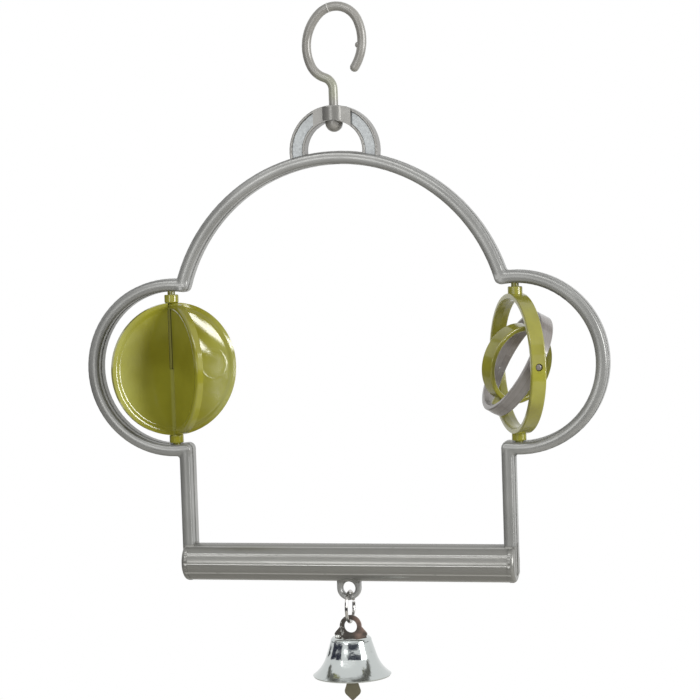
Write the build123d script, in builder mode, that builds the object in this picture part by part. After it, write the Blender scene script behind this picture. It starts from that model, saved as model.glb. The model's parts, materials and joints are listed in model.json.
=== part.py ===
from build123d import *

import os
from math import cos, degrees, radians, sin, sqrt

# Bird swing: a moulded frame with two spinning toys, a perch and a bell, on a swivel hook.
# The origin is the seat of the hook: the inside of its bend, on the swivel axis. X runs along the
# perch, Y from front to back, Z up. Millimetres and degrees throughout.

quarter_turn = 90

# Heights below the hook seat
lobe_drop = 104.29
arch_drop = 93.49
perch_drop = 163.39

# Frame band: a wider rear part and a narrower front part that meet at a parting ledge
band_width = 3.9
band_depth = 5.6
front_depth = 2.6
ledge = 0.2
front_edge_radius = 0.6
rear_edge_radius = 0.45
notch_radius = 0.9
arch_radius = 50.7
lobe_radius = 25.05
lobe_offset = 52.66
leg_offset = 49.4
leg_sink = 2.65

# Perch
perch_radius = 5.7
perch_length = 102.0
flute_count = 12
flute_depth = 0.2
flute_edge_radius = 1.0
perch_end_radius = 5.72
perch_end_length = 1.9
perch_end_rounding = 1.2

# Hanger half ring with its hub
hanger_outer_radius = 13.4
hanger_inner_radius = 8.8
hanger_depth = 4.6
hanger_root = 3.0
hanger_rim = 0.8
hanger_panel_depth = 0.6
hanger_edge_radius = 0.25
hub_width = 11.4
hub_depth = 5.8
hub_inset = 0.1
boss_diameter = 8.0
boss_step = 0.5

# Swivel hook of round rod
rod_diameter = 2.75
swivel_clearance = 0.08
neck_bend_radius = 3.7
neck_bend_angle = 69.6
neck_length = 0.2
elbow_radius = 7.0
elbow_angle = 45.5
side_radius = 13.3
side_angle = 70.0
bend_radius = 7.25
bend_angle = 110.8
tip_radius = 14.4
tip_angle = 57.3
nub_diameter = 1.9
nub_rise = 0.65
nub_place = 0.525
head_diameter = 5.2
head_height = 3.3
head_gap = 0.1
head_room = 0.2
head_seat_depth = 0.15

# Toy pivots: pins with collars, in blind holes of the lobes
pivot_diameter = 2.3
pivot_length = 2.6
pivot_root = 1.0
pivot_clearance = 0.08
pivot_end_gap = 0.3
collar_diameter = 4.3
collar_height = 2.4
collar_sink = 0.05
collar_rounding = 0.35
pivot_rounding = 0.3
toy_end_gap = 0.6
toy_foot_gap = 0.25

# Spinner of two half-lapped discs
disc_rim_thickness = 2.2
disc_rim_width = 2.2
disc_rim_slope = 0.9
disc_rim_radius = 0.8
disc_web_thickness = 1.5
disc_web_radius = 1.4
slot_clearance = 0.6
lap_clearance = 0.05
spinner_angle = 41

# Gimbal of three nested rings
ring_width = 4.5
ring_thickness = 1.8
ring_edge_radius = 0.45
ring_ridge = 0.25
ring_step = 4.4
ring_collar_height = 2.0
ring_pin_diameter = 2.0
ring_pin_clearance = 0.08
ring_pin_recess = 0.25
ring_pin_rounding = 0.5
ring_shoulder_diameter = 3.4
ring_shoulder_gap = 0.5
outer_ring_angle = 27.6
middle_ring_angle = 29
inner_ring_angle = 64

# Eyelet under the perch
eyelet_width = 7.1
eyelet_hole_diameter = 3.9
eyelet_hole_rounding = 1.0
eyelet_thickness = 2.8
eyelet_drop = 7.7
eyelet_edge_radius = 0.5

# Open jump ring between eyelet and bell
link_wire_diameter = 0.95
link_outer_diameter = 10.1
link_gap = 0.6
link_gap_angle = 12.0
link_play = 0.4

# Stamped strap of the bell
strap_thickness = 0.8
strap_eye_diameter = 6.6
strap_hole_diameter = 4.0
strap_play = 0.2
strap_foot_width = 11.6
strap_foot_height = 1.1
strap_ear_height = 2.9
strap_ear_radius = 0.7
tongue_width = 3.6
tongue_length = 4.5
tongue_hole_width = 2.0
tongue_foot = 0.8
tongue_clearance = 0.1

# Bell
bell_wall = 0.5
bell_height = 11.4
crown_radius = 5.0
shoulder_radius = 6.15
shoulder_drop = 1.2
waist_radius = 7.62
waist_drop = 5.8
mouth_radius = 11.75

# Clapper: a leaf with a curled eye
clapper_thickness = 0.7
clapper_curl_radius = 1.0
clapper_curl_width = 1.3
clapper_play = 0.3
clapper_length = 15.1
clapper_width = 5.3
clapper_tip_length = 2.5
clapper_waist_width = 3.3
clapper_waist_drop = 9.6
clapper_corner_radius = 1.5
clapper_tip_radius = 0.7

# Places that follow from the sizes
front_y = -band_depth / 2
rear_y = band_depth / 2
ledge_y = front_y + front_depth
lobe_z = -lobe_drop
arch_z = -arch_drop
perch_z = -perch_drop
arch_top_z = arch_z + arch_radius + band_width / 2
hub_top_z = arch_top_z + hanger_outer_radius
hub_foot_z = arch_top_z + hanger_inner_radius + head_seat_depth
lobe_bore = lobe_radius - band_width / 2
pivot_room = pivot_length - toy_foot_gap + pivot_end_gap
toy_reach = lobe_bore - toy_end_gap
toy_z = lobe_z - toy_end_gap + toy_foot_gap
disc_diameter = 2 * (toy_reach - collar_height)
outer_ring_diameter = 2 * (toy_reach - ring_collar_height)
middle_ring_diameter = outer_ring_diameter - 2 * ring_step
inner_ring_diameter = middle_ring_diameter - 2 * ring_step
eyelet_z = perch_z - eyelet_drop
link_radius = (link_outer_diameter - link_wire_diameter) / 2
link_top_z = eyelet_z - eyelet_hole_diameter / 2 + link_play + link_wire_diameter / 2
link_z = link_top_z - link_radius
link_foot_z = link_z - link_radius
strap_hole_top_z = link_foot_z + link_wire_diameter / 2 + strap_play
strap_eye_z = strap_hole_top_z - strap_hole_diameter / 2
crown_z = strap_eye_z - strap_hole_diameter / 2 - strap_foot_height
tongue_bar_z = crown_z - tongue_length + tongue_foot / 2
clapper_curl_z = tongue_bar_z + tongue_foot / 2 + clapper_play - clapper_curl_radius

os.makedirs("parts", exist_ok=True)


def facing_front(y):
    """The plane square to Y at a given depth, seen from the front."""
    return Plane.XZ.offset(-y)


def on_circle(radius, angle):
    """A point of a sketch at a radius and an angle."""
    return (radius * cos(radians(angle)), radius * sin(radians(angle)))


# Middle line of the frame: arch, two lobes, two legs and the line of the perch
lobe_rise = arch_z - lobe_z
centres_apart = sqrt(lobe_offset**2 + lobe_rise**2)
corner_along = (lobe_radius**2 - arch_radius**2 + centres_apart**2) / (2 * centres_apart)
corner_across = sqrt(lobe_radius**2 - corner_along**2)
corner_x = lobe_offset + (corner_across * lobe_rise - corner_along * lobe_offset) / centres_apart
corner_z = lobe_z + (corner_along * lobe_rise + corner_across * lobe_offset) / centres_apart
leg_top_z = lobe_z - sqrt(lobe_radius**2 - (lobe_offset - leg_offset) ** 2)
lobe_side_x = lobe_offset + lobe_radius
with BuildLine() as band_line:
    ThreePointArc((corner_x, corner_z), (0, arch_z + arch_radius), (-corner_x, corner_z))
    ThreePointArc((-corner_x, corner_z), (-lobe_side_x, lobe_z), (-leg_offset, leg_top_z))
    Polyline(
        (-leg_offset, leg_top_z),
        (-leg_offset, perch_z - leg_sink),
        (leg_offset, perch_z - leg_sink),
        (leg_offset, leg_top_z),
    )
    ThreePointArc((leg_offset, leg_top_z), (lobe_side_x, lobe_z), (corner_x, corner_z))


def band_face(y, width):
    """The frame's band at a given depth, with its four outer notches rounded."""
    middle = band_line.wire()
    with BuildSketch(facing_front(y)) as band:
        make_face(middle.offset_2d(width / 2, Kind.ARC).edges())
        fillet(band.vertices().sort_by(Axis.Y)[-4:], radius=notch_radius)
        make_face(middle.offset_2d(-width / 2, Kind.ARC).edges(), mode=Mode.SUBTRACT)
    return band.sketch


def hanger_face(y, width, inset=0.0):
    """The hanger's half ring on its roots at a given depth, cut to a width and set in."""
    with BuildSketch(facing_front(y)) as half_ring:
        with Locations((0, arch_top_z)):
            Circle(hanger_outer_radius - inset)
            Circle(hanger_inner_radius + inset, mode=Mode.SUBTRACT)
        with Locations((0, arch_top_z - hanger_root)):
            rise = hanger_root + hanger_outer_radius
            Rectangle(width, rise, align=(Align.CENTER, Align.MIN), mode=Mode.INTERSECT)
    return half_ring.sketch


# Eyelet for the bell, rounded all over so that the jump ring rides on it
with BuildPart() as eyelet:
    with BuildSketch(facing_front(eyelet_thickness / 2)):
        with Locations((0, eyelet_z)):
            Circle(eyelet_width / 2)
            Rectangle(eyelet_width, eyelet_drop, align=(Align.CENTER, Align.MIN))
            Circle(eyelet_hole_diameter / 2, mode=Mode.SUBTRACT)
    extrude(amount=eyelet_thickness)
    fillet(eyelet.edges().filter_by(GeomType.CIRCLE).sort_by(SortBy.RADIUS)[:2], radius=eyelet_hole_rounding)
    eyelet_faces = eyelet.faces().filter_by(Axis.Y)
    eyelet_rims = ShapeList(rim for face in eyelet_faces for rim in face.outer_wire().edges())
    fillet(eyelet_rims.sort_by(Axis.Z)[:-2], radius=eyelet_edge_radius)

# Hanger half ring, with a sunk panel on each side of its hub, front and rear
with BuildPart() as hanger:
    extrude(hanger_face(hanger_depth / 2, 2 * hanger_outer_radius), amount=hanger_depth)
    for face_y in (-hanger_depth / 2, hanger_depth / 2 - hanger_panel_depth):
        with BuildSketch(facing_front(face_y + hanger_panel_depth)):
            add(hanger_face(0, 2 * hanger_outer_radius, hanger_rim))
            with Locations((0, arch_top_z)):
                Rectangle(hub_width, 2 * hanger_outer_radius, mode=Mode.SUBTRACT)
        extrude(amount=hanger_panel_depth, mode=Mode.SUBTRACT)
    outer_faces = hanger.faces().sort_by(Axis.Y)
    fillet(outer_faces[0].edges() + outer_faces[-1].edges(), radius=hanger_edge_radius)

# One moulding: band, perch, hanger and eyelet
with BuildPart() as swing_frame:
    extrude(band_face(rear_y, band_width), amount=band_depth - front_depth)
    fillet(swing_frame.faces().sort_by(Axis.Y)[-1].edges(), radius=rear_edge_radius)
    extrude(band_face(ledge_y, band_width - 2 * ledge), amount=front_depth)
    fillet(swing_frame.faces().sort_by(Axis.Y)[0].edges(), radius=front_edge_radius)

    # Fluted bar of the perch, between two plain rounded ends
    flute_angle = 360 / flute_count
    with BuildSketch(Plane((0, 0, perch_z), x_dir=(0, 1, 0), z_dir=(1, 0, 0))) as fluted:
        with BuildLine():
            for flute in range(flute_count):
                ThreePointArc(
                    on_circle(perch_radius, flute * flute_angle),
                    on_circle(perch_radius - flute_depth, (flute + 0.5) * flute_angle),
                    on_circle(perch_radius, (flute + 1) * flute_angle),
                )
        make_face()
        fillet(fluted.vertices(), radius=flute_edge_radius)
    extrude(amount=perch_length / 2 - perch_end_length / 2, both=True)
    for side in (-1, 1):
        with BuildSketch(facing_front(0)) as perch_end:
            with Locations((side * perch_length / 2, perch_z)):
                inward = Align.MIN if side < 0 else Align.MAX
                Rectangle(perch_end_length, perch_end_radius, align=(inward, Align.MIN))
            rim_corners = perch_end.vertices().sort_by(Axis.Y)[-2:].sort_by(Axis.X)
            fillet(rim_corners[0 if side < 0 else -1], radius=perch_end_rounding)
        revolve(axis=Axis((0, 0, perch_z), (1, 0, 0)))

    # Hanger, hub and boss, bored for the swivel and spot-faced for its head
    add(hanger.part)
    extrude(hanger_face(hub_depth / 2, hub_width, hub_inset), amount=hub_depth)
    with Locations((0, 0, hub_foot_z)):
        above = (Align.CENTER, Align.CENTER, Align.MIN)
        below = (Align.CENTER, Align.CENTER, Align.MAX)
        Cylinder(boss_diameter / 2, hub_top_z - hub_foot_z - boss_step, align=above)
        Cylinder(head_diameter / 2 + head_room, hanger_inner_radius, align=below, mode=Mode.SUBTRACT)
        Cylinder(rod_diameter / 2 + swivel_clearance, 2 * hanger_outer_radius, mode=Mode.SUBTRACT)

    # Blind pivot holes of the toys, at the head and foot of each lobe
    pivot_span = 2 * (lobe_bore + pivot_room)
    for side in (-1, 1):
        with Locations((side * lobe_offset, 0, lobe_z)):
            Cylinder(pivot_diameter / 2 + pivot_clearance, pivot_span, mode=Mode.SUBTRACT)

    add(eyelet.part)
swing_frame.part.label = "swing_frame"
export_step(swing_frame.part, "parts/swing_frame.step")

# Line of the hook's rod from its neck to its tip, then lowered until its bend seats at the origin
with BuildLine(Plane.XZ) as rod_line:
    neck_bend = JernArc((0, 0), (0, 1), neck_bend_radius, neck_bend_angle)
    neck = PolarLine(neck_bend @ 1, neck_length, direction=neck_bend % 1)
    elbow = JernArc(neck @ 1, neck % 1, elbow_radius, -elbow_angle)
    side_arc = JernArc(elbow @ 1, elbow % 1, side_radius, -side_angle)
    bend = JernArc(side_arc @ 1, side_arc % 1, bend_radius, -bend_angle)
    tip_arc = JernArc(bend @ 1, bend % 1, tip_radius, -tip_angle)
bend_centre = bend.arc_center
seat_height = bend_centre.Z + sqrt((bend_radius - rod_diameter / 2) ** 2 - bend_centre.X**2)
lowered = Location((0, 0, -seat_height))
head_top_z = hub_foot_z - head_gap
with BuildLine(Plane.XZ) as hook_line:
    Line((0, head_top_z), (0, -seat_height))
    add(rod_line.line.moved(lowered))

# Swivel hook: rod, rounded tip, gate nub and the domed head that holds it in the hub
with BuildPart() as hook:
    with BuildSketch(Plane((0, 0, head_top_z))):
        Circle(rod_diameter / 2)
    sweep(path=hook_line.wire())
    with Locations(lowered.position + tip_arc @ 1):
        Sphere(rod_diameter / 2)
    nub_root = tip_arc @ nub_place
    nub_inward = (tip_arc.arc_center - nub_root).normalized()
    nub_reach = rod_diameter / 2 + nub_rise - nub_diameter / 2
    with Locations(lowered.position + nub_root + nub_inward * nub_reach):
        Sphere(nub_diameter / 2)
    with BuildSketch(Plane.XZ):
        with BuildLine():
            head_radius = head_diameter / 2
            dome_z = head_top_z - head_height + head_radius
            head_side = Polyline((0, head_top_z), (head_radius, head_top_z), (head_radius, dome_z))
            head_dome = TangentArc(head_side @ 1, (0, head_top_z - head_height), tangent=(0, -1))
            Line(head_dome @ 1, head_side @ 0)
        make_face()
    revolve(axis=Axis.Z)
hook.part.label = "hook"
export_step(hook.part, "parts/hook.step")


def pivot(end, root, foot):
    """Collar and pin of a toy, along the lobe's axis: end is -1 at the foot and 1 at the head."""
    low = (Align.MIN, Align.MIN)
    pin_end = toy_reach + pivot_length
    with BuildSketch(Plane((0, 0, 0), x_dir=(1, 0, 0), z_dir=(0, -end, 0))) as profile:
        with Locations((0, root)):
            Rectangle(pivot_diameter / 2, pin_end - root, align=low)
        pin_corner = profile.vertices().sort_by(Axis.Y)[-2:].sort_by(Axis.X)[-1]
        fillet(pin_corner, radius=pivot_rounding)
        with BuildSketch(mode=Mode.PRIVATE) as collar:
            with Locations((0, foot)):
                Rectangle(collar_diameter / 2, toy_reach - foot, align=low)
            fillet(collar.vertices().sort_by(Axis.X)[-2:], radius=collar_rounding)
        add(collar.sketch)
    revolve(profile.sketch, axis=Axis.Z)


def spinner_disc(turn, end):
    """One disc of the spinner: a pivot at one end of its axis, a slot from the other end."""
    face = Plane((0, 0, 0), x_dir=on_circle(1, turn), z_dir=on_circle(1, turn - quarter_turn))
    radius = disc_diameter / 2
    rim_foot = radius - disc_rim_width
    with BuildPart() as disc:
        with BuildSketch(Plane((0, 0, 0), x_dir=(0, 0, 1), z_dir=face.x_dir)) as half:
            with BuildLine():
                Polyline(
                    (0, disc_web_thickness / 2),
                    (rim_foot, disc_web_thickness / 2),
                    (rim_foot + disc_rim_slope, disc_rim_thickness / 2),
                    (radius, disc_rim_thickness / 2),
                    (radius, 0),
                )
                mirror(about=Plane.XZ)
                Line((0, disc_web_thickness / 2), (0, -disc_web_thickness / 2))
            make_face()
            corners = half.vertices().sort_by(Axis.X)
            fillet(corners[2:6], radius=disc_web_radius)
            fillet(half.vertices().group_by(Axis.X)[-1].sort_by(Axis.Y)[0::2], radius=disc_rim_radius)
        revolve(axis=Axis((0, 0, 0), face.z_dir))
        with BuildSketch(face):
            with Locations((0, end * lap_clearance)):
                away = Align.MIN if end < 0 else Align.MAX
                slot = disc_rim_thickness + 2 * slot_clearance
                Rectangle(slot, disc_diameter, align=(Align.CENTER, away))
        extrude(amount=disc_rim_thickness, both=True, mode=Mode.SUBTRACT)
        pivot(end, radius - pivot_root, radius - collar_sink)
    return disc.part.moved(Location((-lobe_offset, 0, toy_z)))


with BuildPart() as spinner_disc_lower:
    add(spinner_disc(spinner_angle, -1))
spinner_disc_lower.part.label = "spinner_disc_lower"
export_step(spinner_disc_lower.part, "parts/spinner_disc_lower.step")

with BuildPart() as spinner_disc_upper:
    add(spinner_disc(spinner_angle + quarter_turn, 1))
spinner_disc_upper.part.label = "spinner_disc_upper"
export_step(spinner_disc_upper.part, "parts/spinner_disc_upper.step")

# Directions of the gimbal: the outer ring's side pins, the middle ring's pins, the inner ring's lie
upward = Vector(0, 0, 1)
side_way = Vector(on_circle(1, outer_ring_angle - quarter_turn))
cross_way = Vector(on_circle(1, outer_ring_angle))
middle_way = upward * cos(radians(middle_ring_angle)) + cross_way * sin(radians(middle_ring_angle))
middle_axis = upward * sin(radians(middle_ring_angle)) - cross_way * cos(radians(middle_ring_angle))
inner_way = side_way * cos(radians(inner_ring_angle)) + middle_axis * sin(radians(inner_ring_angle))
gimbal_place = Location((lobe_offset, 0, toy_z))


def plain_ring(first_way, second_way, diameter):
    """A ring in the plane of two directions, with a low parting ridge round its bore."""
    axis = first_way.cross(second_way)
    rim = diameter / 2
    bore = rim - ring_thickness
    half = ring_width / 2
    with BuildSketch(Plane((0, 0, 0), x_dir=first_way, z_dir=first_way.cross(axis))) as section:
        with BuildLine():
            Polyline(
                (rim, -half),
                (rim, half),
                (bore + ring_ridge, half),
                (bore, 0),
                (bore + ring_ridge, -half),
                close=True,
            )
        make_face()
        corners = section.vertices().sort_by(Axis.Y)
        fillet(corners[:2] + corners[-2:], radius=ring_edge_radius)
    revolve(section.sketch, axis=Axis((0, 0, 0), axis))


def side_holes(way, diameter):
    """Two holes across a ring for the pins of the ring inside it."""
    with Locations(Plane((0, 0, 0), z_dir=way)):
        Cylinder(ring_pin_diameter / 2 + ring_pin_clearance, diameter + ring_width, mode=Mode.SUBTRACT)


def side_pins(way, across, diameter, outer_diameter):
    """Two shouldered pins on a ring, with rounded ends just inside the rim of the ring round it."""
    root = (diameter - ring_thickness) / 2
    pin_end = outer_diameter / 2 - ring_pin_recess
    shoulder_end = outer_diameter / 2 - ring_thickness - ring_shoulder_gap
    low = (Align.MIN, Align.MIN)
    for sense in (-1, 1):
        with BuildSketch(Plane((0, 0, 0), x_dir=way * sense, z_dir=across)) as profile:
            with Locations((root, 0)):
                Rectangle(pin_end - root, ring_pin_diameter / 2, align=low)
            pin_corner = profile.vertices().sort_by(Axis.X)[-2:].sort_by(Axis.Y)[-1]
            fillet(pin_corner, radius=ring_pin_rounding)
            with Locations((root, 0)):
                Rectangle(shoulder_end - root, ring_shoulder_diameter / 2, align=low)
        revolve(profile.sketch, axis=Axis((0, 0, 0), way))


with BuildPart() as outer_ring:
    plain_ring(side_way, upward, outer_ring_diameter)
    mid_wall = (outer_ring_diameter - ring_thickness) / 2
    for end in (-1, 1):
        pivot(end, mid_wall, mid_wall)
    side_holes(side_way, outer_ring_diameter)
with BuildPart() as gimbal_outer_ring:
    add(outer_ring.part.moved(gimbal_place))
gimbal_outer_ring.part.label = "gimbal_outer_ring"
export_step(gimbal_outer_ring.part, "parts/gimbal_outer_ring.step")

with BuildPart() as middle_ring:
    plain_ring(side_way, middle_way, middle_ring_diameter)
    side_pins(side_way, middle_way, middle_ring_diameter, outer_ring_diameter)
    side_holes(middle_way, middle_ring_diameter)
with BuildPart() as gimbal_middle_ring:
    add(middle_ring.part.moved(gimbal_place))
gimbal_middle_ring.part.label = "gimbal_middle_ring"
export_step(gimbal_middle_ring.part, "parts/gimbal_middle_ring.step")

with BuildPart() as inner_ring:
    plain_ring(middle_way, inner_way, inner_ring_diameter)
    side_pins(middle_way, inner_way, inner_ring_diameter, middle_ring_diameter)
with BuildPart() as gimbal_inner_ring:
    add(inner_ring.part.moved(gimbal_place))
gimbal_inner_ring.part.label = "gimbal_inner_ring"
export_step(gimbal_inner_ring.part, "parts/gimbal_inner_ring.step")

# Jump ring: round wire bent to a ring, with its cut on the rear side
half_cut = degrees(link_gap / 2 / link_radius)
cut_y, cut_z = on_circle(1, link_gap_angle + half_cut)
with BuildPart() as bell_link:
    cut_point = (0, link_radius * cut_y, link_z + link_radius * cut_z)
    with BuildSketch(Plane(cut_point, x_dir=(0, cut_y, cut_z), z_dir=(0, -cut_z, cut_y))):
        Circle(link_wire_diameter / 2)
    revolve(axis=Axis((0, 0, link_z), (1, 0, 0)), revolution_arc=360 - 2 * half_cut)
bell_link.part.label = "bell_link"
export_step(bell_link.part, "parts/bell_link.step")

# Strap: an eye on two feet, with a tongue that goes through the crown of the bell
with BuildPart() as bell_strap:
    with BuildSketch(facing_front(strap_thickness / 2)) as stamping:
        with BuildLine():
            Polyline(
                (-strap_foot_width / 2, crown_z),
                (strap_foot_width / 2, crown_z),
                (strap_eye_diameter / 2, crown_z + strap_ear_height),
                (-strap_eye_diameter / 2, crown_z + strap_ear_height),
                close=True,
            )
        make_face()
        fillet(stamping.vertices().sort_by(Axis.Y)[:2], radius=strap_ear_radius)
        with Locations((0, strap_eye_z)):
            Circle(strap_eye_diameter / 2)
        with Locations((0, strap_eye_z)):
            Circle(strap_hole_diameter / 2, mode=Mode.SUBTRACT)
        with Locations((0, crown_z - tongue_length)):
            Rectangle(tongue_width, tongue_length + strap_foot_height, align=(Align.CENTER, Align.MIN))
        with Locations((0, tongue_bar_z + tongue_foot / 2 + tongue_hole_width / 2)):
            Rectangle(tongue_hole_width, tongue_hole_width, mode=Mode.SUBTRACT)
    extrude(amount=strap_thickness)
bell_strap.part.label = "bell_strap"
export_step(bell_strap.part, "parts/bell_strap.step")

# Bell: crown, shoulder, waist and flared mouth in one thin wall
with BuildPart() as bell_shell:
    with BuildSketch(Plane.XZ):
        with BuildLine():
            crown = Line((0, crown_z), (crown_radius, crown_z))
            shoulder = TangentArc(crown @ 1, (shoulder_radius, crown_z - shoulder_drop), tangent=(1, 0))
            waist = Line(shoulder @ 1, (waist_radius, crown_z - waist_drop))
            TangentArc(waist @ 1, (mouth_radius, crown_z - bell_height), tangent=waist % 1)
            offset(amount=bell_wall, side=Side.RIGHT)
        make_face()
    revolve(axis=Axis.Z)
    with Locations((0, 0, crown_z)):
        slot_width = tongue_width + 2 * tongue_clearance
        Box(slot_width, strap_thickness + 2 * tongue_clearance, 4 * bell_wall, mode=Mode.SUBTRACT)
bell_shell.part.label = "bell_shell"
export_step(bell_shell.part, "parts/bell_shell.step")

# Clapper: a leaf of sheet whose narrow end is curled through the tongue
with BuildPart() as clapper:
    with BuildSketch(Plane((0, 0, clapper_curl_z), x_dir=(0, 1, 0), z_dir=(1, 0, 0))):
        Circle(clapper_curl_radius + clapper_thickness)
        Circle(clapper_curl_radius, mode=Mode.SUBTRACT)
    extrude(amount=clapper_curl_width / 2, both=True)
    leaf_top = -clapper_curl_radius - clapper_thickness / 2
    leaf_side = clapper_tip_length - clapper_length
    leaf_face = Plane((0, clapper_thickness / 2, clapper_curl_z), x_dir=(1, 0, 0), z_dir=(0, -1, 0))
    with BuildSketch(leaf_face) as leaf:
        with BuildLine():
            Polyline(
                (clapper_curl_width / 2, leaf_top),
                (clapper_waist_width / 2, -clapper_waist_drop),
                (clapper_width / 2, leaf_side),
                (0, -clapper_length),
                (-clapper_width / 2, leaf_side),
                (-clapper_waist_width / 2, -clapper_waist_drop),
                (-clapper_curl_width / 2, leaf_top),
                close=True,
            )
        make_face()
        lower_corners = leaf.vertices().sort_by(Axis.Y)[:3]
        fillet(lower_corners[1:], radius=clapper_corner_radius)
        fillet(lower_corners[0], radius=clapper_tip_radius)
    extrude(amount=clapper_thickness)
clapper.part.label = "clapper"
export_step(clapper.part, "parts/clapper.step")
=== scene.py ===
import json
import math

import bpy
from mathutils import Matrix, Vector


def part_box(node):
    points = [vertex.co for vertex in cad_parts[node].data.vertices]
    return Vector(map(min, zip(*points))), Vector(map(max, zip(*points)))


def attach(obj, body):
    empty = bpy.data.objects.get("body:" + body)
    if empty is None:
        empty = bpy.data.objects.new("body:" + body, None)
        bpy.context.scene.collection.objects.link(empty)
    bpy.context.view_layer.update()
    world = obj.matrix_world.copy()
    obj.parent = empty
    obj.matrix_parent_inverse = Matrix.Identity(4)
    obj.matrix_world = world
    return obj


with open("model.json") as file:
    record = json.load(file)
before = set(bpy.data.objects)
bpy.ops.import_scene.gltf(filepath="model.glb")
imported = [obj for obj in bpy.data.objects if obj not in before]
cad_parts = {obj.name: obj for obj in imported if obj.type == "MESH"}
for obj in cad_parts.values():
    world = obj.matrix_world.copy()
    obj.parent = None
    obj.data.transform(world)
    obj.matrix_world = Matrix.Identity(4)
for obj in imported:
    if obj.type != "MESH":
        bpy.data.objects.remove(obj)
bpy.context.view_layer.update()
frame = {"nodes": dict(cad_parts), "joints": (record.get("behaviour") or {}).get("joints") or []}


# The frame is one injection moulding in plastic with a metallic pearl pigment: arch, lobes, legs, perch,
# hanger and eyelet. Its faces are crowned and satin, the hanger is darker and has frosted panels, and the
# perch is darker, with painted highlight lines broken along its ridges.
class Tone:
    """A value that varies over a surface: operators on it add the nodes that work them out."""

    def __init__(self, tree, socket=None):
        self.tree = tree
        self.socket = socket

    def node(self, kind, settings=None, sockets=None, out=0):
        """A new node of any kind: its settings are made first, then its sockets are set or linked."""
        made = self.tree.nodes.new(kind)
        for name, what in (settings or {}).items():
            if name == "stops":
                for stop, (place, shade) in zip(made.color_ramp.elements, what):
                    stop.position = place
                    stop.color = (shade, shade, shade, 1)
            else:
                setattr(made, name, what)
        for name, what in (sockets or {}).items():
            if isinstance(what, Tone):
                self.tree.links.new(what.socket, made.inputs[name])
            else:
                made.inputs[name].default_value = what
        return Tone(self.tree, made.outputs[out])

    def maths(self, operation, second=0.0, third=0.0):
        return self.node("ShaderNodeMath", {"operation": operation}, {0: self, 1: second, 2: third})

    def __add__(self, other):
        return self.maths("ADD", other)

    def __sub__(self, other):
        return self.maths("SUBTRACT", other)

    def __rsub__(self, other):
        return self.node("ShaderNodeMath", {"operation": "SUBTRACT"}, {0: other, 1: self})

    def __mul__(self, other):
        return self.maths("MULTIPLY", other)

    def __lt__(self, other):
        return self.maths("LESS_THAN", other)

    def __gt__(self, other):
        return self.maths("GREATER_THAN", other)

    def __abs__(self):
        return self.maths("ABSOLUTE")

    __radd__ = __add__
    __rmul__ = __mul__

    def vector(self, operation, second=(0, 0, 0), out=0):
        return self.node("ShaderNodeVectorMath", {"operation": operation}, {0: self, 1: second}, out)

    def measure(self, operation, second=(0, 0, 0)):
        """Vector maths that gives a number: a length, a distance or a share along a direction."""
        return self.vector(operation, second, out=1)

    def part(self, index):
        return self.node("ShaderNodeSeparateXYZ", {}, {0: self}, index)

    def cloud(self, scale, detail=2.0, rough=0.5):
        sockets = {"Vector": self, "Scale": scale, "Detail": detail, "Roughness": rough}
        return self.node("ShaderNodeTexNoise", {}, sockets)

    def ramp(self, low, high):
        return self.node("ShaderNodeValToRGB", {"stops": ((low, 0), (high, 1))}, {"Fac": self})

    def ease(self, start, full):
        """A mask that rises smoothly from 0 where it starts to 1 where it is full, above or below that."""
        sockets = {"Value": self, "From Min": start, "From Max": full}
        return self.node("ShaderNodeMapRange", {"interpolation_type": "SMOOTHSTEP"}, sockets)

    def blend(self, first, second):
        return self.node("ShaderNodeMix", {"data_type": "RGBA"}, {0: self, 6: first, 7: second}, out=2)

    def mottle(self, scale, dark, light):
        """Soft clouds of two shades, as pigment leaves them in a moulding."""
        return self.cloud(scale, detail=3.0).ramp(0.3, 0.7).blend(dark, light)

    def feed(self, shader, name):
        self.tree.links.new(self.socket, shader.inputs[name])

    def relief(self, shader):
        """Heights in metres that light feels and the mesh doesn't have."""
        bump = self.node("ShaderNodeBump", {}, {"Height": self, "Distance": 1.0, "Strength": 1.0})
        bump.feed(shader, "Normal")


def surface(name, **plain):
    """A new material with its plain values set: the material, its shader and the object's own space."""
    material = bpy.data.materials.new(name)
    material.use_nodes = True
    shader = material.node_tree.nodes["Principled BSDF"]
    for socket, value in plain.items():
        shader.inputs[socket.replace("_", " ")].default_value = value
    space = Tone(material.node_tree).node("ShaderNodeTexCoord", out="Object")
    return material, shader, space


def dress(material, *names):
    """The CAD nodes of these names get this material alone."""
    for name in names:
        slots = frame["nodes"][name].data.materials
        slots.clear()
        slots.append(material)


pearl_dark = (0.235, 0.236, 0.226, 1)
pearl_light = (0.30, 0.302, 0.291, 1)
pearl, shader, space = surface("pearl_grey_moulding", Metallic=0.3, Specular_IOR_Level=0.6)
skin = space.mottle(70, pearl_dark, pearl_light)

# Both halves are alike, so a place on the frame is a reach from its middle and a drop from the hook's seat.
folded = space.vector("MULTIPLY", (1, 0, 1)).vector("ABSOLUTE")
reach = folded.part(0)
drop = folded.part(2)

arch_drop = 0.09349
arch_radius = 0.0507
arch_half_width = 0.0019
hanger_grey = (0.19, 0.186, 0.174, 1)
hanger_reach = 0.02
hanger_foot_drop = 0.06
off_arch = abs(folded.measure("DISTANCE", (0, 0, arch_drop)) - arch_radius)
on_hanger = (off_arch > arch_half_width) * (reach < hanger_reach) * (drop < hanger_foot_drop)
skin = on_hanger.blend(skin, hanger_grey)

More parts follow.
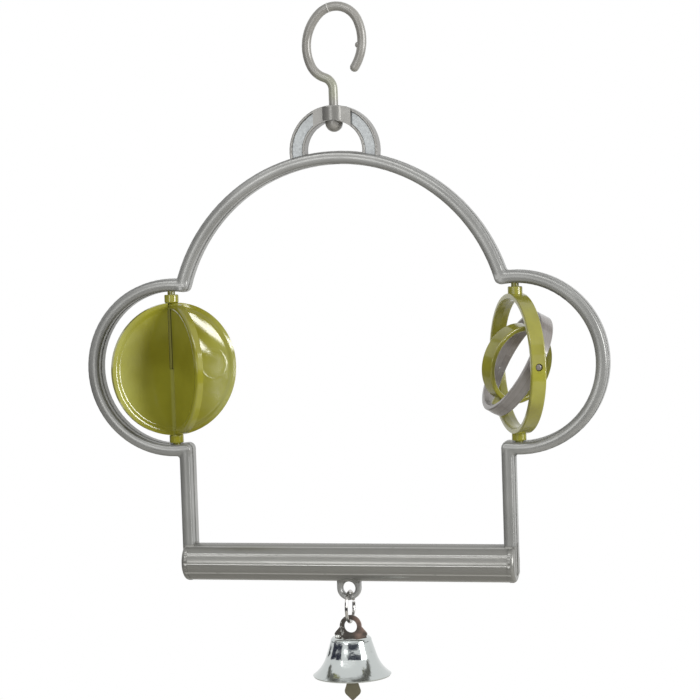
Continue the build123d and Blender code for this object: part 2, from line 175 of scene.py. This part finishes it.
panel_dark = (0.235, 0.248, 0.252, 1)
panel_light = (0.30, 0.318, 0.322, 1)
hanger_drop = 0.04084
panel_radius = 0.0111
panel_half_width = 0.0015
panel_floor = 0.0017
floor_play = 0.0001
frost = space.cloud(1500, detail=1.0).ramp(0.35, 0.7).blend(panel_dark, panel_light)
spoke = folded.measure("DISTANCE", (0, 0, hanger_drop))
on_floor = abs(space.part(1)).maths("COMPARE", panel_floor, floor_play)
in_panel = spoke.maths("COMPARE", panel_radius, panel_half_width) * on_floor
skin = in_panel.blend(skin, frost)

perch_dark = (0.185, 0.183, 0.168, 1)
ridge_painted_highlight = (0.43, 0.43, 0.41, 1)
perch_drop = 0.16339
perch_radius = 0.0057
perch_bound = 0.0061
flutes_reach = 0.05
ridge_count = 12
ridge_line = (0.00034, 0.0001)
ridge_polish = (0.0013, 0.0006)
ridge_width = 0.0014
ridge_curve = 96.0
upward = space.part(2) + perch_drop
backward = space.part(1)
beside_ridge = upward.maths("ARCTAN2", backward).maths("PINGPONG", math.pi / ridge_count) * perch_radius
on_perch = (upward * upward + backward * backward) < perch_bound**2
on_flutes = on_perch * (reach < flutes_reach)
# Broken pale lines along the perch's ridges are painted highlight.
painted_ridge_highlight = beside_ridge.ease(*ridge_line) * on_flutes * space.cloud(420, detail=3.0).ease(0.15, 0.45)
# The perch is coloured a darker grey than the rest of the frame.
perch_darkened = (0.8 * on_perch).blend(skin, perch_dark)
(0.8 * painted_ridge_highlight).blend(perch_darkened, ridge_painted_highlight).feed(shader, "Base Color")
polished = beside_ridge.ease(*ridge_polish) * on_flutes
(0.26 + 0.1 * space.cloud(260) - 0.1 * polished).feed(shader, "Roughness")
inside_ridge = (ridge_width - beside_ridge).maths("MAXIMUM", 0.0)
worn_ridges = ridge_curve * inside_ridge * inside_ridge * on_flutes

joints = {joint["name"]: joint for joint in frame["joints"]}
lobe_reach = joints["ring_spin"]["pos_m"][0]
lobe_drop = 0.10429
lobe_radius = 0.02505
leg_reach = 0.0494
leg_top_drop = 0.129
corner_rounding = 0.0012
crown_reach = 0.0018
crown_curve = 180.0
peel_height = 0.00002
off_lobe = abs(folded.measure("DISTANCE", (lobe_reach, 0, lobe_drop)) - lobe_radius)
above_leg = drop < leg_top_drop
off_leg = abs(reach - leg_reach) + above_leg
off_bands = off_arch.maths("SMOOTH_MIN", off_lobe, corner_rounding)
off_bands = off_bands.maths("SMOOTH_MIN", off_leg, corner_rounding).maths("MINIMUM", crown_reach)
crown = crown_curve * off_bands * off_bands * (1.0 - on_perch)
(peel_height * space.cloud(90, detail=1.0) - crown - worn_ridges).relief(shader)
dress(pearl, "swing_frame")

# The hook is a round rod of the same kind of plastic in a browner grey, bent round, with a domed head
# that holds it in the hub and lets it turn. Its neck has yellowed, and the tool has left a fine pale
# mould witness round its bend.
rod_dark = (0.20, 0.192, 0.172, 1)
rod_light = (0.262, 0.254, 0.234, 1)
neck_yellow = (0.262, 0.266, 0.205, 1)
neck_top = (-0.0165, -0.021)
neck_foot = (-0.0275, -0.024)
rod_wave = 0.00005
rod_grey, shader, space = surface(
    "rod_grey_moulding", Metallic=0.05, Coat_Weight=0.6, Coat_Roughness=0.36
)
height = space.part(2)
neck = height.ease(*neck_top) * height.ease(*neck_foot)
neck.blend(space.mottle(160, rod_dark, rod_light), neck_yellow).feed(shader, "Base Color")
(0.26 + 0.14 * space.cloud(180)).feed(shader, "Roughness")
(rod_wave * space.cloud(110, detail=1.0)).relief(shader)
dress(rod_grey, "hook")

bend_middle = Vector((0.001351, 0, -0.005718))
bend_radius = 0.00725
rod_radius = 0.001375
seam_angle = math.radians(107)
seam_radius = 0.00018
seam_rise = 0.00004
seam_press = 0.985
seam_pinch = 0.35
seam_place = bend_middle + bend_radius * Vector((math.cos(seam_angle), 0, math.sin(seam_angle)))
bpy.ops.object.select_all(action="DESELECT")
bpy.ops.mesh.primitive_torus_add(
    location=seam_place,
    rotation=(0, math.pi - seam_angle, 0),
    major_segments=64,
    minor_segments=12,
    major_radius=rod_radius,
    minor_radius=seam_radius,
)
seam = bpy.context.object
seam.name = "hook_mould_seam"
bpy.ops.object.mode_set(mode="EDIT")
bpy.ops.mesh.select_mode(type="VERT")
bpy.ops.mesh.select_all(action="DESELECT")
bpy.ops.object.mode_set(mode="OBJECT")
for point in seam.data.vertices:
    point.select = math.hypot(point.co.x, point.co.y) > rod_radius + seam_rise
bpy.ops.object.mode_set(mode="EDIT")
bpy.ops.transform.resize(
    value=(seam_press, seam_press, seam_pinch), orient_type="LOCAL", center_override=seam_place
)
bpy.ops.object.mode_set(mode="OBJECT")
bpy.ops.object.shade_smooth()
bpy.ops.object.transform_apply(location=True, rotation=True, scale=True)
seam_light = (0.66, 0.65, 0.62, 1)
seam_grey, shader, space = surface("seam_grey_moulding", Coat_Weight=0.4, Coat_Roughness=0.2)
space.cloud(700).blend(rod_light, seam_light).feed(shader, "Base Color")
(0.3 + 0.15 * space.cloud(900)).feed(shader, "Roughness")
seam.data.materials.append(seam_grey)
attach(seam, "hook")

# The spinner's two discs are moulded in glossy olive-green plastic and half-lapped in each other's
# slots, on pivots in the left lobe. Their thin webs have sunk as they cooled, which breaks reflections.
# The slot is matt, with a painted light strip on one edge and painted shade beside it.
green_deep = (0.192, 0.178, 0.014, 1)
green_light = (0.285, 0.276, 0.028, 1)
green_painted_light = (0.44, 0.45, 0.15, 1)
rim_sheen_span = (0.007, 0.019)
lower_disc_turn = math.radians(41)
along_lower = (math.cos(lower_disc_turn), math.sin(lower_disc_turn), 0)
green, shader, space = surface("olive_green_moulding", Specular_IOR_Level=0.6)
outward = space.vector("SUBTRACT", joints["spinner_spin"]["pos_m"])
side = outward.measure("DOT_PRODUCT", along_lower)
above = outward.part(2)
# A pale haze painted toward the disc rims, in clouds, stands in for sheen.
rim_painted_sheen = abs(side).ease(*rim_sheen_span) * (0.2 + 0.45 * space.cloud(130, detail=3.0))

slot_painted_light = (0.62, 0.60, 0.16, 1)
slot_painted_shade = (0.05, 0.045, 0.008, 1)
slot_walls = (0.0016, 0.0011)
slot_end = (0.0212, 0.0206)
slot_split = (-0.0007, -0.0004)
slot_turn = math.radians(14.38)
across_slot = (math.cos(slot_turn), math.sin(slot_turn), 0)
corner_walls = (0.002, 0.0014)
axle = outward.vector("MULTIPLY", (1, 1, 0)).measure("LENGTH")
in_disc = abs(above).ease(*slot_end)
in_slot = axle.ease(*slot_walls) * (above > 0.0) * in_disc
corner_painted_light = axle.ease(*corner_walls) * (above < 0.0) * in_disc
# The slot's pale strip is painted light and the dark strip beside it painted shade, split across the view
# at rest.
slot_light_and_shade = outward.measure("DOT_PRODUCT", across_slot).ease(*slot_split).blend(slot_painted_light, slot_painted_shade)
pigment = space.mottle(60, green_deep, green_light)
# A pale strip beside the slot in the lower half is painted light.
(rim_painted_sheen + 0.4 * corner_painted_light).blend(pigment, green_painted_light).feed(shader, "Base Color")
(0.07 + 0.08 * space.cloud(300)).feed(shader, "Roughness")
glossy = Tone(green.node_tree, shader.outputs[0])
dull_values = {"Base Color": slot_light_and_shade, "Roughness": 1.0, "Specular IOR Level": 0.0}
dull = space.node("ShaderNodeBsdfPrincipled", {}, dull_values)
joined = space.node("ShaderNodeMixShader", {}, {0: in_slot, 1: glossy, 2: dull})
joined.feed(green.node_tree.nodes["Material Output"], "Surface")

wave_slant = math.radians(52)
wave_length = 0.006
wave_start = 0.01469
wave_height = 0.0000573
wave_wander = 0.0024
sunk_side = (0.002, 0.006)
sunk_above = (0.0005, 0.0095)
mark_side = 0.01236
mark_above = 0.00075
mark_radius = 0.0043
mark_wander = 0.0012
mark_line = (0.0007, 0.0001)
mark_height = 0.000012
web_wave = 0.00012
along_wave = math.cos(wave_slant) * side + math.sin(wave_slant) * above - wave_start
along_wave = along_wave + wave_wander * (space.cloud(110, detail=1.0) - 0.5)
wave = (along_wave * (math.tau / wave_length)).maths("COSINE")
sunk = side.ease(*sunk_side) * above.ease(*sunk_above)
from_mark = space.node("ShaderNodeCombineXYZ", {}, {0: side - mark_side, 1: above - mark_above})
off_mark = from_mark.measure("LENGTH") + mark_wander * (space.cloud(500) - 0.5) - mark_radius
mark = abs(off_mark).ease(*mark_line)
web = web_wave * space.cloud(90, detail=1.0)
(wave_height * wave * sunk + mark_height * mark + web).relief(shader)
dress(green, "spinner_disc_lower", "spinner_disc_upper")

# The three nested rings snap into each other on short round pins, the outer one on pivots in the right
# lobe. The outer and the inner ring are green, and the middle one is a warm grey plastic with fine lines
# from the tool round its faces.
ring_wave = 0.0001
ring_green, shader, space = surface("ring_green_moulding", Coat_Weight=0.7, Coat_Roughness=0.06)
space.mottle(90, green_deep, green_light).feed(shader, "Base Color")
(0.24 + 0.14 * space.cloud(300)).feed(shader, "Roughness")
(ring_wave * space.cloud(220, detail=1.0)).relief(shader)
dress(ring_green, "gimbal_outer_ring", "gimbal_inner_ring")

warm_dark = (0.13, 0.112, 0.098, 1)
warm_light = (0.275, 0.257, 0.248, 1)
line_height = 0.00002
outer_pins = Vector(joints["middle_tumble"]["axis"])
inner_pins = Vector(joints["inner_tumble"]["axis"])
band_axis = outer_pins.cross(inner_pins)
warm, shader, space = surface("warm_grey_moulding", Coat_Weight=0.5, Coat_Roughness=0.08)
outward = space.vector("SUBTRACT", joints["middle_tumble"]["pos_m"])
across_band = outward.measure("DOT_PRODUCT", band_axis)
lines = space.node(
    "ShaderNodeTexNoise", {"noise_dimensions": "1D"}, {"W": across_band, "Scale": 2600.0}
)
shade = 0.25 * lines + 0.75 * space.cloud(110, detail=3.0)
shade.ramp(0.36, 0.64).blend(warm_dark, warm_light).feed(shader, "Base Color")
(0.24 + 0.14 * space.cloud(300)).feed(shader, "Roughness")
(line_height * lines).relief(shader)
dress(warm, "gimbal_middle_ring")

# The jump ring is round steel wire, bent to a ring and plated. It is closed by hand through the eyelet
# of the frame and the eye of the strap.
wire_pitting = 0.00004
wire, shader, space = surface("plated_wire", Base_Color=(0.5, 0.49, 0.47, 1), Metallic=1.0)
(0.10 + 0.12 * space.cloud(900)).feed(shader, "Roughness")
(wire_pitting * space.cloud(900)).relief(shader)
dress(wire, "bell_link")

# The strap is stamped from thin steel, with its feet on the bell's crown and its tongue through it.
# Its plating has worn dark, with a copper tint on the right side and bright specks on the left.
strap_dark = (0.075, 0.066, 0.058, 1)
strap_copper = (0.26, 0.178, 0.145, 1)
strap_bright = (0.5, 0.5, 0.47, 1)
copper_side = (-0.0004, 0.0032)
bright_side = (-0.0012, -0.003)
strap_pitting = 0.00006
strap, shader, space = surface("worn_strap_steel", Metallic=0.75)
across = space.part(0)
copper = across.ease(*copper_side) * space.cloud(350, detail=3.0).ease(0.25, 0.6)
bright = across.ease(*bright_side) * space.cloud(900, detail=4.0, rough=0.7).ease(0.54, 0.62)
worn = copper.blend(strap_dark, strap_copper)
bright.blend(worn, strap_bright).feed(shader, "Base Color")
(0.5 + 0.2 * space.cloud(500) - 0.3 * bright).feed(shader, "Roughness")
(strap_pitting * space.cloud(700)).relief(shader)
dress(strap, "bell_strap")

# The bell is pressed from thin sheet and bright-plated, and the strap holds it by its crown. Its wall is
# a little uneven, and is drawn in at the waist, which turns the reflections round there.
waist_drop = 0.0035
waist_reach = 0.0026
waist_slope = 0.0524
flare_slope = -0.126
waist_curve = (waist_slope - flare_slope) / (3 * waist_reach**2)
wall_wave = 0.00007
waist_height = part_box("bell_shell")[1].z - waist_drop
plating, shader, space = surface("bright_plating", Base_Color=(0.54, 0.57, 0.56, 1), Metallic=1.0)
(0.1 + 0.08 * space.cloud(350)).feed(shader, "Roughness")
from_waist = space.part(2) - waist_height
drawn_in = from_waist.maths("MINIMUM", waist_reach).maths("MAXIMUM", -waist_reach)
waist = drawn_in * (waist_slope - waist_curve * drawn_in * drawn_in)
flare = flare_slope * (from_waist - drawn_in)
(waist + flare + wall_wave * space.cloud(520)).relief(shader)
dress(plating, "bell_shell")

# The clapper is a leaf of dull sheet metal, cut out flat. Its top is curled round the foot of the
# strap's tongue, so that it swings inside the bell.
leaf_dark = (0.145, 0.133, 0.088, 1)
leaf_light = (0.19, 0.177, 0.118, 1)
leaf, shader, space = surface("dull_leaf_metal", Metallic=0.6)
space.cloud(250, detail=3.0).blend(leaf_dark, leaf_light).feed(shader, "Base Color")
(0.38 + 0.2 * space.cloud(600)).feed(shader, "Roughness")
dress(leaf, "clapper")

# The studio has a pale round floor well below the hanging part, a white surround for what is seen and
# mirrored, and soft lamps. The dark flags and the near white card are screens that only reflections
# see: they stand for the darker and whiter parts of the room in the glossy pieces.
floor_radius = 0.6
floor_height = -0.36
floor_pale = (0.74, 0.72, 0.67, 1)
bpy.ops.object.select_all(action="DESELECT")
bpy.ops.mesh.primitive_circle_add(
    vertices=128, radius=floor_radius, fill_type="NGON", location=(0, 0, floor_height)
)
floor = bpy.context.object
floor.name = "floor"
bpy.ops.object.transform_apply(location=True, rotation=True, scale=True)
paper, shader, space = surface("pale_floor", Base_Color=floor_pale, Roughness=0.9)
floor.data.materials.append(paper)

white = (1, 1, 1, 1)
ambient_strength = 0.31
world = bpy.data.worlds.new("white_surround")
world.use_nodes = True
bpy.context.scene.world = world
ambient = world.node_tree.nodes["Background"]
ambient.inputs["Color"].default_value = white
ambient.inputs["Strength"].default_value = ambient_strength
sky = Tone(world.node_tree, ambient.outputs[0])
shown = sky.node("ShaderNodeBackground", {}, {"Color": white, "Strength": 1.0})
seen = sky.node("ShaderNodeLightPath", out="Is Camera Ray")
mirrored = sky.node("ShaderNodeLightPath", out="Is Glossy Ray")
through = sky.node("ShaderNodeLightPath", out="Is Transmission Ray")
surround = sky.node("ShaderNodeMixShader", {}, {0: seen + mirrored + through, 1: sky, 2: shown})
surround.feed(world.node_tree.nodes["World Output"], "Surface")

heart = Vector((0, 0, -0.105))


def softbox(name, azimuth, elevation, distance, wide, tall, power):
    """A soft lamp that faces the middle of the swing, from an azimuth to the right of the front."""
    turn, lift = math.radians(azimuth), math.radians(elevation)
    level = Vector((math.sin(turn), -math.cos(turn), 0)) * math.cos(lift)
    way = level + Vector((0, 0, math.sin(lift)))
    bpy.ops.object.light_add(type="AREA", location=heart + way * distance)
    lamp = bpy.context.object
    lamp.name = name
    lamp.data.shape = "RECTANGLE"
    lamp.data.size = wide
    lamp.data.size_y = tall
    lamp.data.energy = power
    lamp.rotation_mode = "QUATERNION"
    lamp.rotation_quaternion = (-way).to_track_quat("-Z", "Y")
    return lamp


softbox("key_right", azimuth=73.6, elevation=10.5, distance=0.95, wide=0.28, tall=0.50, power=8.0)
softbox("front_left", azimuth=-14, elevation=3.5, distance=0.95, wide=0.26, tall=0.25, power=1.2)
softbox("top_strip", azimuth=-6, elevation=42, distance=0.95, wide=0.9, tall=0.16, power=3.0)
front_fill = softbox("front_fill", azimuth=-25, elevation=8, distance=1.0, wide=0.5, tall=0.5, power=0.4)
rear_fill = softbox("rear_fill", azimuth=165, elevation=20, distance=1.0, wide=0.6, tall=0.6, power=2.0)
for fill in (front_fill, rear_fill):
    fill.visible_glossy = False


def screen(name, first, last, low, high, colour, away=1.2):
    """A curved screen round the swing, between two azimuths and two elevations from its middle."""
    bpy.ops.object.select_all(action="DESELECT")
    bpy.ops.mesh.primitive_cylinder_add(vertices=180, radius=away, depth=2, end_fill_type="NOTHING")
    cloth = bpy.context.object
    cloth.name = name
    bpy.ops.object.mode_set(mode="EDIT")
    bpy.ops.mesh.select_mode(type="FACE")
    bpy.ops.mesh.select_all(action="DESELECT")
    bpy.ops.object.mode_set(mode="OBJECT")
    for strip in cloth.data.polygons:
        azimuth = math.degrees(math.atan2(strip.center.x, -strip.center.y))
        strip.select = not first < azimuth < last
    bpy.ops.object.mode_set(mode="EDIT")
    bpy.ops.mesh.delete(type="FACE")
    bpy.ops.object.mode_set(mode="OBJECT")
    foot, head = (heart.z + away * math.tan(math.radians(lift)) for lift in (low, high))
    cloth.scale.z = (head - foot) / 2
    cloth.location.z = (head + foot) / 2
    bpy.ops.object.transform_apply(location=True, rotation=True, scale=True)
    glow, shader, space = surface(name, Base_Color=(0, 0, 0, 1), Roughness=1.0, Emission_Strength=1.0)
    shader.inputs["Emission Color"].default_value = colour
    cloth.data.materials.append(glow)
    cloth.visible_camera = False
    cloth.visible_diffuse = False
    cloth.visible_transmission = False
    cloth.visible_shadow = False


low_grey = (0.05, 0.05, 0.055, 1)
night_blue = (0.014, 0.018, 0.04, 1)
screen("low_flag", first=-128, last=128, low=-30, high=-0.5, colour=low_grey)
screen("side_flag", first=-95, last=-66, low=1, high=15, colour=night_blue)
screen("left_flag", first=-66, last=-37, low=8, high=24, colour=night_blue)
screen("right_flag", first=-6, last=60, low=14.8, high=30, colour=night_blue)
screen("white_card", first=-32, last=30, low=1.5, high=21.5, colour=white, away=0.12)

# The camera stands where the photograph was taken from, a little to the right of the front and almost
# level, with a long lens. It leans a little, as the photograph does.
camera_place = Vector((0.163307, -0.626761, -0.061151))
camera_aim = Vector((0.002569, 0.0, -0.099876))
camera_lean = math.radians(1.873)
bpy.ops.object.camera_add(location=camera_place)
camera = bpy.context.object
forward = (camera_aim - camera_place).normalized()
rightward = forward.cross(Vector((0, 0, 1))).normalized()
rise = rightward.cross(forward)
camera_right = rightward * math.cos(camera_lean) - rise * math.sin(camera_lean)
camera_up = rightward * math.sin(camera_lean) + rise * math.cos(camera_lean)
facing = Matrix((camera_right, camera_up, -forward)).transposed().to_4x4()
camera.matrix_world = Matrix.Translation(camera_place) @ facing
camera.data.sensor_width = 36.0
camera.data.lens = 112.319
bpy.context.scene.camera = camera
bpy.context.scene.view_settings.view_transform = "Standard"
